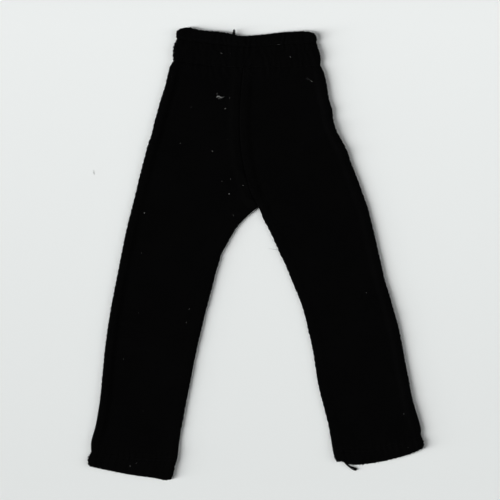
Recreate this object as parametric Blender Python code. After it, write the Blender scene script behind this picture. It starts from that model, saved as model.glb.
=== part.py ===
"""Doll's riding leggings in black jersey, laid flat with the front up.

The tables are in millimetres and the meshes in metres. +Y points to the waist, +Z up, and +X to
the wearer's left leg. The origin is at the middle of the outline, on the surface that the
leggings lie on. The front panels lie on the back ones, and each seam leaves a small gap between
its two pieces.
"""

import bmesh
import bpy
import numpy as np

MM = 0.001
COLLECTION_NAME = "riding_leggings"

# Thickness of the cloth: one layer in the legs, folded double or round an elastic elsewhere.
LEG_CLOTH = 1.0
BAND_CLOTH = 1.4
CASING_CLOTH = 1.7
HEM_CLOTH = 1.5

# Height of front and back together, over the seams and mid-panel.
LEG_SEAM_HEIGHT = 3.1
LEG_MIDDLE_HEIGHT = 2.45
BAND_HEIGHT = 3.7
BAND_BULGE = 0.5
STITCHED_HEIGHT = 3.9
CASING_HEIGHT = 4.8
HEM_HEIGHT = 3.8
STRIP_SLACK = 0.2
SEAM_RIDGE_WIDTH = 7.0
RISE_TO_STRIP = 12.0

SEAM_GAP = 0.3
LEG_ROUND = 1.6
BAND_ROUND = 1.8
CASING_ROUND = 2.1
HEM_ROUND = 1.8
CROTCH_FADE = 9.0
SMOOTH_ANGLE = 50.0

# The outline, as x and y. Sides and inseams run down from the waist, and the lines across a leg
# run from its outer side to its inner one.
CROTCH = (1.4, 27.5)
CENTRE_SEAM = (
    (-7.5, 109.1),
    (-9.0, 91.7),
    (-9.6, 75.7),
    (-8.6, 59.7),
    (-5.7, 44.7),
    (-2.3, 34.2),
    CROTCH,
)
WAIST_SEAM = ((-48.3, 112.6), (-27.6, 110.0), (-7.5, 109.1), (15.2, 109.3), (37.5, 110.1))
CASING_SEAM = ((-46.2, 125.5), (-26.6, 123.0), (-6.6, 121.1), (14.2, 122.3), (35.1, 123.5))
WAIST_TOP = (
    (-44.1, 131.5),
    (-40.5, 132.2),
    (-32.4, 130.9),
    (-19.5, 129.6),
    (-6.7, 127.4),
    (6.2, 128.2),
    (20.2, 129.7),
    (29.6, 129.9),
    (33.2, 129.1),
)
BAND_ENDS = {
    "right": ((-46.2, 125.5), (-47.8, 121.9), (-48.5, 116.3), (-48.3, 112.6)),
    "left": ((35.1, 123.5), (36.2, 119.9), (37.5, 115.5), (37.5, 110.1)),
}
CASING_ENDS = {
    "right": ((-44.1, 131.5), (-46.1, 130.0), (-46.6, 127.9), (-46.2, 125.5)),
    "left": ((33.2, 129.1), (34.6, 127.6), (35.3, 125.9), (35.1, 123.5)),
}
SIDE_ABOVE_CROTCH = {
    "right": (
        (-48.3, 112.6),
        (-50.0, 109.6),
        (-51.1, 106.0),
        (-52.9, 98.4),
        (-55.7, 89.6),
        (-58.6, 79.2),
        (-64.6, 57.9),
        (-72.2, 27.5),
    ),
    "left": (
        (37.5, 110.1),
        (39.2, 106.5),
        (41.1, 99.1),
        (42.4, 90.7),
        (44.3, 84.3),
        (45.2, 77.3),
        (46.8, 72.1),
        (49.9, 66.2),
        (52.9, 60.4),
        (54.9, 54.6),
        (65.0, 27.4),
    ),
}
SIDE_BELOW_CROTCH = {
    "right": (
        (-72.2, 27.5),
        (-74.9, 17.0),
        (-78.7, -1.4),
        (-85.8, -38.9),
        (-88.1, -55.2),
        (-89.9, -73.9),
        (-94.0, -101.9),
        (-96.1, -109.5),
        (-96.3, -114.9),
    ),
    "left": (
        (65.0, 27.4),
        (67.9, 16.0),
        (71.9, -1.5),
        (75.8, -17.8),
        (82.0, -39.0),
        (88.9, -72.8),
        (92.8, -90.4),
        (95.5, -99.2),
        (96.2, -104.7),
    ),
}
INSEAM = {
    "right": (
        CROTCH,
        (-5.1, 22.2),
        (-9.8, 17.5),
        (-17.2, 5.7),
        (-23.5, -10.6),
        (-27.7, -27.5),
        (-33.0, -48.1),
        (-40.7, -85.5),
        (-45.5, -114.7),
        (-45.9, -119.1),
    ),
    "left": (
        CROTCH,
        (3.7, 21.9),
        (8.6, 12.4),
        (13.1, 2.4),
        (17.2, -6.3),
        (20.4, -15.0),
        (26.7, -29.6),
        (33.5, -57.7),
        (36.5, -76.5),
        (39.9, -90.4),
        (42.0, -98.8),
        (44.5, -113.1),
    ),
}
HEM_LINE = {
    "right": ((-96.3, -114.9), (-79.9, -117.3), (-62.2, -118.9), (-45.9, -119.1)),
    "left": ((96.2, -104.7), (80.1, -110.9), (60.4, -114.0), (44.5, -113.1)),
}
HEM_OUTER_END = {
    "right": ((-96.3, -114.9), (-97.4, -117.5), (-98.1, -120.9), (-97.1, -123.8)),
    "left": ((96.2, -104.7), (97.2, -107.7), (97.9, -110.5), (97.3, -113.1)),
}
HEM_INNER_END = {
    "right": ((-45.9, -119.1), (-46.5, -121.1), (-48.1, -127.7), (-49.9, -131.4)),
    "left": ((44.5, -113.1), (45.2, -116.0), (46.1, -119.3), (47.4, -121.4)),
}
HEM_FOLD = {
    "right": (
        (-97.1, -123.8),
        (-84.9, -126.6),
        (-70.9, -129.2),
        (-57.4, -131.2),
        (-52.8, -132.1),
        (-49.9, -131.4),
    ),
    "left": (
        (97.3, -113.1),
        (91.2, -116.2),
        (77.3, -120.2),
        (65.7, -122.4),
        (56.4, -123.0),
        (47.4, -121.4),
    ),
}

# Soft folds of the front: where each starts and ends, half its width, and its height there.
FOLDS = (
    {"start": (46.0, 74.5), "end": (17.0, 55.0), "half_width": 3.6, "height": 0.9},
    {"start": (53.0, 60.0), "end": (27.0, 47.0), "half_width": 3.4, "height": 0.5},
    {"start": (-4.0, 34.0), "end": (-33.0, 46.0), "half_width": 3.4, "height": 0.6},
    {"start": (7.0, 31.0), "end": (33.0, 37.0), "half_width": 3.2, "height": 0.5},
    {"start": (-62.0, 62.0), "end": (-36.0, 55.0), "half_width": 3.6, "height": 0.5},
    {"start": (-87.0, -47.0), "end": (-50.0, -57.0), "half_width": 4.0, "height": 0.5},
    {"start": (81.0, -36.0), "end": (44.0, -43.0), "half_width": 4.0, "height": 0.5},
    {"start": (-93.0, -99.0), "end": (-58.0, -106.0), "half_width": 3.6, "height": 0.4},
    {"start": (93.0, -91.0), "end": (60.0, -101.0), "half_width": 3.6, "height": 0.4},
)
FOLD_FADE = 0.75

# How finely the cloth is divided.
CURVE_STEPS = 16
ROUND_STEPS = {"front": 3, "back": 2}
RISE_ROWS = {"front": 17, "back": 11}
LEG_ROWS = {"front": 21, "back": 14}
LEG_COLUMNS = {"front": 9, "back": 3}
WAIST_COLUMNS = {"front": 14, "back": 8}
BAND_ROWS = 3
CASING_ROWS = 2
HEM_ROWS = 2
HEM_COLUMNS = {"front": 6, "back": 4}

FINISHES = {
    "leg": {"colour": (0.0050, 0.0050, 0.0054, 1.0), "roughness": 0.92, "sheen": 0.15},
    "waistband": {"colour": (0.0046, 0.0046, 0.0050, 1.0), "roughness": 0.90, "sheen": 0.15},
    "casing": {"colour": (0.0044, 0.0044, 0.0048, 1.0), "roughness": 0.88, "sheen": 0.12},
    "hem": {"colour": (0.0048, 0.0048, 0.0052, 1.0), "roughness": 0.92, "sheen": 0.15},
}


def smooth_line(points):
    """A dense line through the points: a Catmull-Rom spline whose knots are the chord lengths."""
    points = np.array(points, float)
    chords = np.linalg.norm(np.diff(points, axis=0), axis=1)
    knots = np.concatenate([[0.0], np.cumsum(chords)])
    slopes = np.gradient(points, knots, axis=0)
    t = (np.arange(1, CURVE_STEPS + 1) / CURVE_STEPS)[:, None]
    blend = t * t * (3 - 2 * t)
    line = [points[:1]]
    for k, chord in enumerate(chords):
        straight = (1 - blend) * points[k] + blend * points[k + 1]
        leaving = t * (1 - t) ** 2 * chord * slopes[k]
        arriving = t * t * (t - 1) * chord * slopes[k + 1]
        line.append(straight + leaving + arriving)
    return np.concatenate(line)


def shifted(line, distance):
    """The line moved to the left of its own direction, or to the right where negative."""
    along = np.gradient(line, axis=0)
    along /= np.linalg.norm(along, axis=1)[:, None]
    return line + distance * np.stack([-along[:, 1], along[:, 0]], axis=1)


def run_of(line):
    """Distance along the line at each of its points."""
    return np.concatenate([[0.0], np.cumsum(np.linalg.norm(np.diff(line, axis=0), axis=1))])


def length_of(line):
    return float(run_of(line)[-1])


def points_at(line, fractions):
    """Points at these fractions of the line's length."""
    run = run_of(line)
    wanted = np.clip(fractions, 0, 1) * run[-1]
    return np.stack([np.interp(wanted, run, line[:, axis]) for axis in (0, 1)], axis=-1)


def edge(line):
    """An edge of a piece, as a function of the fraction along it."""
    return lambda fractions: points_at(line, fractions)


def edge_past_crotch(above, below, crotch):
    """An edge in two stretches, which meet at the fraction where the crotch is."""

    def points(fractions):
        upper = points_at(above, fractions / crotch)
        lower = points_at(below, (fractions - crotch) / (1 - crotch))
        return np.where((fractions <= crotch)[..., None], upper, lower)

    return points


def fade(distance, reach):
    """1 at no distance, and smoothly down to 0 at the reach."""
    t = np.clip(1 - distance / reach, 0, 1)
    return t * t * (3 - 2 * t)


def plan_points(edges, across, down):
    """Plan points of a four-sided piece, blended from its four edges."""
    start, end = np.zeros_like(across), np.ones_like(across)
    u, v = across[..., None], down[..., None]
    top, bottom = edges["top"], edges["bottom"]
    sides = (1 - u) * edges["near"](down) + u * edges["far"](down)
    ends = (1 - v) * top(across) + v * bottom(across)
    top_chord = (1 - u) * top(start) + u * top(end)
    bottom_chord = (1 - u) * bottom(start) + u * bottom(end)
    return sides + ends - (1 - v) * top_chord - v * bottom_chord


def fold_lift(plan):
    """How far the soft folds lift the front at these plan points."""
    lift = np.zeros(plan.shape[:-1])
    for fold in FOLDS:
        start = np.array(fold["start"])
        run = np.array(fold["end"]) - start
        along = np.clip(((plan - start) @ run) / (run @ run), 0, 1)
        aside = np.linalg.norm(plan - start - along[..., None] * run, axis=-1)
        height = fold["height"] * (1 - FOLD_FADE * along)
        lift += height * np.exp(-((aside / fold["half_width"]) ** 2))
    return lift


def round_angles(piece):
    """Angles up a rounded edge, from its lip to where the cloth lies flat."""
    return np.linspace(0, np.pi / 2, ROUND_STEPS[piece["layer"]] + 1)


def round_inset(angles, width, depth):
    """How far inside its edge a rounded skin lies in plan, at these angles and this depth."""
    return depth + (width - depth) * (1 - np.cos(angles))


def row_places(piece, depth):
    """Fraction down the piece of each row, and the angle up the rounded end there."""
    gap = SEAM_GAP / 2 / piece["length"]
    flat = np.pi / 2
    if piece["rounded_end"] is None:
        down = np.linspace(gap, 1 - gap, piece["rows"] + 1)
        return down, np.full(len(down), flat)
    angles = round_angles(piece)
    round_in = round_inset(angles, piece["round"], depth) / piece["length"]
    rest = np.linspace(piece["round"] / piece["length"], 1 - gap, piece["rows"] + 1)[1:]
    down = np.concatenate([round_in, rest])
    up = np.concatenate([angles, np.full(len(rest), flat)])
    if piece["rounded_end"] == "bottom":
        return 1 - down[::-1], up[::-1]
    return down, up


def column_places(piece, depth, width, curl):
    """Distance from the near edge of each column, and the share of the full height there."""
    angles = round_angles(piece)
    near = round_inset(angles, piece["round"], depth)
    far = round_inset(angles[::-1], piece["round"], curl * depth)
    share = np.linspace(0, 1, piece["columns"] + 1)[1:-1]
    middle = piece["round"] + (width - 2 * piece["round"]) * share
    across = np.concatenate([np.tile(near, (len(width), 1)), middle, width - far], axis=1)
    level = np.ones(len(share))
    near_lift = np.concatenate([np.sin(angles), level, np.ones(len(angles))])
    far_drop = np.concatenate([np.zeros(len(angles)), 1 - level, 1 - np.sin(angles[::-1])])
    return across, near_lift * (1 - curl * far_drop)


def skin(piece, depth):
    """Points of the outer skin, or of the inner one at the cloth's depth, row by row."""
    edges = piece["edges"]
    down, up = row_places(piece, depth)
    width = np.linalg.norm(edges["far"](down) - edges["near"](down), axis=1)[:, None]
    across, side_lift = column_places(piece, depth, width, piece["far_curl"](down)[:, None])
    plan = plan_points(edges, across / width, np.broadcast_to(down[:, None], across.shape))
    lift = side_lift * np.sin(up)[:, None]
    seam_height, middle_height = (height[:, None] for height in piece["heights"](down))
    if piece["layer"] == "back":
        lip = (seam_height - SEAM_GAP) / 2
        z = lip - (lip - depth) * lift
    else:
        lip = (seam_height + SEAM_GAP) / 2
        ridge = fade(np.minimum(across, width - across), SEAM_RIDGE_WIDTH)
        height = middle_height + (seam_height - middle_height) * ridge + fold_lift(plan)
        z = lip + (height - depth - lip) * lift
    return np.concatenate([plan, z[..., None]], axis=-1)


def cloth_mesh(piece):
    """A grid is extruded to a wall with two skins, and its points move to the cloth's shape."""
    outer, inner = skin(piece, 0.0), skin(piece, piece["cloth"])
    rows, columns = outer.shape[0] - 1, outer.shape[1] - 1
    bm = bmesh.new()
    bmesh.ops.create_grid(bm, x_segments=columns, y_segments=rows, size=1)
    extruded = bmesh.ops.extrude_face_region(bm, geom=bm.faces[:])
    inner_points = [item for item in extruded["geom"] if isinstance(item, bmesh.types.BMVert)]
    bmesh.ops.translate(bm, verts=inner_points, vec=(0, 0, 1))
    bmesh.ops.recalc_face_normals(bm, faces=bm.faces[:])
    for vertex in bm.verts:
        row = round((1 - vertex.co.y) / 2 * rows)
        column = round((1 + vertex.co.x) / 2 * columns)
        points = inner if vertex.co.z > 0.5 else outer
        vertex.co = points[row, column] * MM
    if bm.calc_volume(signed=True) < 0:
        bmesh.ops.reverse_faces(bm, faces=bm.faces[:])
    mesh = bpy.data.meshes.new(piece["name"])
    bm.to_mesh(mesh)
    bm.free()
    mesh.shade_smooth()
    mesh.set_sharp_from_angle(angle=np.radians(SMOOTH_ANGLE))
    return mesh


def curled(down):
    """Both sides of the piece curl to the other layer all the way down."""
    return np.ones_like(down)


def leg_panel(side, layer):
    """Hip to hem line, from the side seam in to the centre seam and the inseam."""
    above, below = smooth_line(SIDE_ABOVE_CROTCH[side]), smooth_line(SIDE_BELOW_CROTCH[side])
    into_panel = -1 if side == "right" else 1
    centre_seam = shifted(smooth_line(CENTRE_SEAM), into_panel * SEAM_GAP / 2)
    inseam = smooth_line(INSEAM[side])
    inseam[0] = centre_seam[-1]
    waist_seam = smooth_line(WAIST_SEAM)
    middle = len(waist_seam) // 2
    half_waist = waist_seam[: middle + 1] if side == "right" else waist_seam[: middle - 1 : -1]
    rows = RISE_ROWS[layer] + LEG_ROWS[layer]
    length = length_of(above) + length_of(below)
    gap = SEAM_GAP / 2 / length
    crotch = gap + (1 - 2 * gap) * RISE_ROWS[layer] / rows

    def heights(down):
        waist_share = fade(down / crotch * length_of(above), RISE_TO_STRIP)
        hem_share = fade((1 - down) / (1 - crotch) * length_of(below), RISE_TO_STRIP)
        seam_rise = (BAND_HEIGHT - LEG_SEAM_HEIGHT) * waist_share
        seam_rise += (HEM_HEIGHT - LEG_SEAM_HEIGHT) * hem_share
        middle_rise = (BAND_HEIGHT - LEG_MIDDLE_HEIGHT - STRIP_SLACK) * waist_share
        middle_rise += (HEM_HEIGHT - LEG_MIDDLE_HEIGHT - STRIP_SLACK) * hem_share
        return LEG_SEAM_HEIGHT + seam_rise, LEG_MIDDLE_HEIGHT + middle_rise

    def crotch_curl(down):
        below_crotch = (down - crotch) / (1 - crotch) * length_of(inseam)
        return 1 - fade(np.maximum(below_crotch, 0), CROTCH_FADE)

    return {
        "name": f"{layer}_{side}",
        "finish": "leg",
        "layer": layer,
        "edges": {
            "near": edge_past_crotch(above, below, crotch),
            "far": edge_past_crotch(centre_seam, inseam, crotch),
            "top": edge(half_waist),
            "bottom": edge(smooth_line(HEM_LINE[side])),
        },
        "length": length,
        "rows": rows,
        "columns": LEG_COLUMNS[layer],
        "cloth": LEG_CLOTH,
        "round": LEG_ROUND,
        "rounded_end": None,
        "far_curl": crotch_curl,
        "heights": heights,
    }


def strip(name, finish, layer, lines, form):
    """A short piece round the waist or a leg end, from its four lines and its form."""
    near, far, top, bottom = (smooth_line(line) for line in lines)
    return {
        "name": name,
        "finish": finish,
        "layer": layer,
        "edges": {
            "near": edge(near),
            "far": edge(far),
            "top": edge(top),
            "bottom": edge(bottom),
        },
        "length": (length_of(near) + length_of(far)) / 2,
        "far_curl": curled,
        **form,
    }


def waistband(layer):
    """The flat band between the leg panels and the casing, a little fuller mid-way."""

    def heights(down):
        height = STITCHED_HEIGHT + (BAND_HEIGHT - STITCHED_HEIGHT) * down
        height = height + BAND_BULGE * np.sin(np.pi * down)
        return height, height - STRIP_SLACK

    form = {
        "rows": BAND_ROWS,
        "columns": WAIST_COLUMNS[layer],
        "cloth": BAND_CLOTH,
        "round": BAND_ROUND,
        "rounded_end": None,
        "heights": heights,
    }
    lines = (BAND_ENDS["right"], BAND_ENDS["left"], CASING_SEAM, WAIST_SEAM)
    return strip(f"waistband_{layer}", "waistband", layer, lines, form)


def casing(layer):
    """The rolled top edge, folded over a narrow elastic and thinnest where it is stitched."""

    def heights(down):
        height = CASING_HEIGHT + (STITCHED_HEIGHT - CASING_HEIGHT) * down**2
        return height, height - STRIP_SLACK

    form = {
        "rows": CASING_ROWS,
        "columns": WAIST_COLUMNS[layer],
        "cloth": CASING_CLOTH,
        "round": CASING_ROUND,
        "rounded_end": "top",
        "heights": heights,
    }
    lines = (CASING_ENDS["right"], CASING_ENDS["left"], WAIST_TOP, CASING_SEAM)
    return strip(f"casing_{layer}", "casing", layer, lines, form)


def hem(side, layer):
    """The turned-up end of a leg, folded double."""

    def heights(down):
        height = np.full_like(down, HEM_HEIGHT)
        return height, height - STRIP_SLACK

    form = {
        "rows": HEM_ROWS,
        "columns": HEM_COLUMNS[layer],
        "cloth": HEM_CLOTH,
        "round": HEM_ROUND,
        "rounded_end": "bottom",
        "heights": heights,
    }
    lines = (HEM_OUTER_END[side], HEM_INNER_END[side], HEM_LINE[side], HEM_FOLD[side])
    return strip(f"hem_{side}_{layer}", "hem", layer, lines, form)


def jersey(name, colour, roughness, sheen):
    """Black cotton jersey with a little nap."""
    material = bpy.data.materials.new(name)
    material.use_nodes = True
    shader = material.node_tree.nodes["Principled BSDF"]
    shader.inputs["Base Color"].default_value = colour
    shader.inputs["Roughness"].default_value = roughness
    shader.inputs["Metallic"].default_value = 0.0
    shader.inputs["Sheen Weight"].default_value = sheen
    material.diffuse_color = colour
    return material


def clear_scene():
    for thing in list(bpy.data.objects):
        bpy.data.objects.remove(thing, do_unlink=True)


def main():
    clear_scene()
    collection = bpy.data.collections.new(COLLECTION_NAME)
    bpy.context.scene.collection.children.link(collection)
    materials = {name: jersey(f"{name}_jersey", **finish) for name, finish in FINISHES.items()}
    for layer in ("back", "front"):
        pieces = [waistband(layer), casing(layer)]
        for side in ("right", "left"):
            pieces += [leg_panel(side, layer), hem(side, layer)]
        for piece in pieces:
            mesh = cloth_mesh(piece)
            mesh.materials.append(materials[piece["finish"]])
            collection.objects.link(bpy.data.objects.new(piece["name"], mesh))


main()
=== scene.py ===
# %% [markdown]
# # Doll's riding leggings in black jersey, laid flat
#
# The leggings lie front up on a pale floor, with the waist away from us. The frame holds a plain
# solid for each cut piece: two front and two back leg panels, a waistband and an elastic casing in
# a front and a back half, and a turned-up hem on each leg. Here every solid gets a shell with the
# cloth's own form: rolled edges, seams that sink, creases, and ripples over the elastic. Then come
# the things that are only looks: stitches, thread ends, fuzz and lint.

# %% Load the frame
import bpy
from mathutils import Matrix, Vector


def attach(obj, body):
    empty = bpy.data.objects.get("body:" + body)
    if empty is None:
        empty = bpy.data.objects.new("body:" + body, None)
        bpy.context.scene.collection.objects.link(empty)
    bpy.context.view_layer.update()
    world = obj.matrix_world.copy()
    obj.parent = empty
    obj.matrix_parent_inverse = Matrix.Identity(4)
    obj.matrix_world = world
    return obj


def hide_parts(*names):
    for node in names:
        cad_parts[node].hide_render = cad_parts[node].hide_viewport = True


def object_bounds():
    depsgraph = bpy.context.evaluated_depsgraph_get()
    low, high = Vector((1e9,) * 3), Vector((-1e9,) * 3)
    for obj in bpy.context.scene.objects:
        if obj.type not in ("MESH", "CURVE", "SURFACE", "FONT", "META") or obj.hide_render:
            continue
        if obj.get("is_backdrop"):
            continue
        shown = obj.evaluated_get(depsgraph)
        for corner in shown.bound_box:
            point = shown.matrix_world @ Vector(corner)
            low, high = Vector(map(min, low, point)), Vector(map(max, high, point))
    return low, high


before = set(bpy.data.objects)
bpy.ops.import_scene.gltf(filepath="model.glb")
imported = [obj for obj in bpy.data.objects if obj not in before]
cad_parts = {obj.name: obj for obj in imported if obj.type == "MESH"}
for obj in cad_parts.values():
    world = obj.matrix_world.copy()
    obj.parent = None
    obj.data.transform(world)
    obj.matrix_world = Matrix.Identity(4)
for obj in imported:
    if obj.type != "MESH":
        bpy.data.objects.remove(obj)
cad_box = [list(corner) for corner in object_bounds()]
print("nodes:", ", ".join(sorted(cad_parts)))

# %% [markdown]
# Blender works in metres and a dressmaker in millimetres, so the tables below are in millimetres,
# and `MM` turns them into metres at the last moment. +Y points to the waist and +X to the wearer's
# left leg. The floor is at height 0.

import bpy
import numpy as np
from mathutils import Vector
from mathutils.bvhtree import BVHTree

MM = 0.001


def deselect_all():
    """Operators act on all that is selected, and a loaded frame is selected."""
    bpy.ops.object.select_all(action="DESELECT")


low, high = (np.array(corner) / MM for corner in cad_box)
print("the solids measure", np.round(high - low, 1), "mm")

# %% [markdown]
# ## The camera
#
# The garment is seen straight from above. A long lens, far away, keeps the view nearly free of
# perspective, as a flatbed picture is. The lens and the sensor fix the distance: the view is
# `VIEW_WIDTH` wide at the height of the cloth.

# %% Camera
VIEW_WIDTH = 292.0
VIEW_CENTRE = (-3.54, 2.3)
CLOTH_HEIGHT = 1.5
LENS = 250.0
SENSOR = 36.0

distance = VIEW_WIDTH * LENS / SENSOR
place = (VIEW_CENTRE[0] * MM, VIEW_CENTRE[1] * MM, (distance + CLOTH_HEIGHT) * MM)
deselect_all()
bpy.ops.object.camera_add(location=place, rotation=(0, 0, 0))
camera = bpy.context.object
camera.data.lens = LENS
camera.data.sensor_width = SENSOR
camera.data.clip_end = 10.0
bpy.context.scene.camera = camera
print(f"the camera is {distance:.0f} mm above the cloth")

# %% [markdown]
# ## Small helpers for shader nodes
#
# Every material below is a sum of a few patterns, so small helpers keep the node trees readable:
# each adds a node or two, plugs the inputs in, and gives the output back. All patterns start from
# the object's own coordinates, so no image and no UV map is needed.

# %% Shader helpers


def new_material(name, roughness, specular):
    """A new material, its node tree, its shader, and the object's own coordinates."""
    material = bpy.data.materials.new(name)
    material.use_nodes = True
    tree = material.node_tree
    shader = tree.nodes["Principled BSDF"]
    shader.inputs["Roughness"].default_value = roughness
    shader.inputs["Specular IOR Level"].default_value = specular
    return material, tree, shader, tree.nodes.new("ShaderNodeTexCoord").outputs["Object"]


def joined(tree, value, socket):
    """Plugs another node's output into the socket, or sets the socket to a number."""
    if isinstance(value, bpy.types.NodeSocket):
        tree.links.new(value, socket)
    else:
        socket.default_value = value


def maths(tree, operation, *values):
    step = tree.nodes.new("ShaderNodeMath")
    step.operation = operation
    for socket, value in zip(step.inputs, values):
        joined(tree, value, socket)
    return step.outputs[0]


def noise(tree, where, size, detail=2.0):
    """Noise whose lumps are about this many millimetres wide."""
    step = tree.nodes.new("ShaderNodeTexNoise")
    step.inputs["Scale"].default_value = 1 / (size * MM)
    step.inputs["Detail"].default_value = detail
    tree.links.new(where, step.inputs["Vector"])
    return step.outputs["Fac"]


def ramp(tree, value, dark, light):
    """A colour from dark to light as the value goes from 0 to 1."""
    step = tree.nodes.new("ShaderNodeValToRGB")
    step.color_ramp.elements[0].color = (*dark, 1.0)
    step.color_ramp.elements[1].color = (*light, 1.0)
    tree.links.new(value, step.inputs["Fac"])
    return step.outputs["Color"]


def hump(tree, value):
    """A parabola that is 1 mid-way between 0 and 1, and 0 at both."""
    centred = maths(tree, "SUBTRACT", maths(tree, "MULTIPLY", value, 2.0), 1.0)
    return maths(tree, "SUBTRACT", 1.0, maths(tree, "MULTIPLY", centred, centred))


def turned_axes(tree, here, angle=0.0):
    """The X and the Y of each place, in a pattern that is turned by this many degrees."""
    turned = tree.nodes.new("ShaderNodeMapping")
    turned.inputs["Rotation"].default_value = (0, 0, np.radians(angle))
    tree.links.new(here, turned.inputs["Vector"])
    axes = tree.nodes.new("ShaderNodeSeparateXYZ")
    tree.links.new(turned.outputs["Vector"], axes.inputs["Vector"])
    return axes.outputs["X"], axes.outputs["Y"]


def raised(tree, shader, pattern, relief):
    """Makes the surface look raised, by this many millimetres where the pattern is 1."""
    bump = tree.nodes.new("ShaderNodeBump")
    bump.inputs["Distance"].default_value = relief * MM
    tree.links.new(pattern, bump.inputs["Height"])
    tree.links.new(bump.outputs["Normal"], shader.inputs["Normal"])


# %% [markdown]
# ## Floor and light
#
# Black cloth shows mostly by its shadow, so the light decides the picture. Edges that face right
# throw a soft shadow several millimetres long, and edges that face our feet throw none. One round
# soft lamp can't do that. An upright strip lamp can: it is tall, which makes the shadow soft, and
# narrow, which keeps the edges along its beam sharp. Each strip here is a column of small suns. The
# strong one stands at the lower left, a weak one at the right gives the left-facing edges their
# faint shadow, and a dim sky fills the rest.
#
# The floor's colour is painted paler at the waist end and darker towards the hems: a painted
# fall-off of the light. `Standard` keeps the pale floor pale and the black cloth black, where
# Blender's usual film-like view would lift the blacks.

# %% Floor and light
FLOOR_SIZE = 6.0
FLOOR_DROP = 0.05
# Painted fall-off of light: the floor's colour goes from shaded at the hems to lit at the waist.
FLOOR_LIGHT_FALLOFF = 264.0
FLOOR_SHADED_END = (0.740, 0.762, 0.756)
FLOOR_LIT_END = (0.832, 0.855, 0.849)
STRIP_LAMPS = (
    {"shines_towards": 11.0, "height": 32.5, "strength": 4.58},
    {"shines_towards": 180.0, "height": 42.0, "strength": 0.91},
)
STRIP_REACH = 34.0
SUNS = 7
SUN_BREADTH = 13.0
SKY_STRENGTH = 0.06


def floor_paper():
    """Matt pale paper with painted light: palest at the waist end, painted shade towards the hems."""
    material, tree, shader, here = new_material("floor_paper", roughness=0.9, specular=0.1)
    up = turned_axes(tree, here)[1]
    share = maths(tree, "ADD", maths(tree, "DIVIDE", up, FLOOR_LIGHT_FALLOFF * MM), 0.5)
    tree.links.new(ramp(tree, share, FLOOR_SHADED_END, FLOOR_LIT_END), shader.inputs["Base Color"])
    return material


deselect_all()
bpy.ops.mesh.primitive_plane_add(size=FLOOR_SIZE)
floor = bpy.context.object
floor.name = "floor"
floor.location.z = -FLOOR_DROP * MM
floor.data.materials.append(floor_paper())
floor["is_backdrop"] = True

steps = np.linspace(-1, 1, SUNS + 2)[1:-1]
shares = np.sqrt(1 - steps**2)
shares /= shares.sum()
for lamp in STRIP_LAMPS:
    for step, share in zip(steps, shares):
        lean = np.radians(lamp["height"] + STRIP_REACH * step - 90)
        deselect_all()
        bpy.ops.object.light_add(type="SUN", rotation=(0, lean, np.radians(lamp["shines_towards"])))
        bpy.context.object.data.energy = lamp["strength"] * share
        bpy.context.object.data.angle = np.radians(SUN_BREADTH)

world = bpy.data.worlds.new("pale_sky")
world.use_nodes = True
world.node_tree.nodes["Background"].inputs["Color"].default_value = (1.0, 1.0, 1.0, 1.0)
world.node_tree.nodes["Background"].inputs["Strength"].default_value = SKY_STRENGTH
bpy.context.scene.world = world
bpy.context.scene.view_settings.view_transform = "Standard"
print(len(STRIP_LAMPS), "strip lamps of", SUNS, "suns each, and a sky")

# %% [markdown]
# ## Black jersey
#
# Jersey is a knit. Its right side shows columns of small Vs, the wales, about 0.6 mm apart here. A
# picture of them would blur close up, and worked out in shader nodes they stay sharp. The pattern:
#
# - `across` runs over the wales, and a triangle wave of it, `arm`, is 0 mid-wale and 1 between two;
# - `along` runs up the wale, and taking `arm` from it bends each course into a V;
# - a parabola over each course, times one over each arm, is the height of the yarn;
# - fine noise adds the fibres on the yarn, and broad noise makes some places blacker than others;
# - the colour follows the height of the yarn, so the grooves between the loops get painted shade,
#   a blacker black than the loops.
#
# The legs are cut along their own grain, so each leg's pattern is turned by a Mapping node.

# %% Knit material
WALE = 0.60
COURSE = 0.46
V_SLOPE = 0.9
ARM_RELIEF = 0.7
YARN_SHARE = 0.62
FIBRE_SHARE = 0.5
FIBRE_SIZE = 0.16
WEAR_SIZE = 22.0
WEAR_DEPTH = 0.9
LEAST_WEAR = 0.45
NOISE_DETAIL = 3.0
ROUGHNESS_RANGE = 0.12
YARN_RELIEF = 0.10
# The grooves between the loops are painted a blacker black than the loops: painted shade.
GROOVE_PAINTED_SHADE = (0.0003, 0.0003, 0.0003)
LOOP_BLACK = (0.0018, 0.0018, 0.0019)


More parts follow.
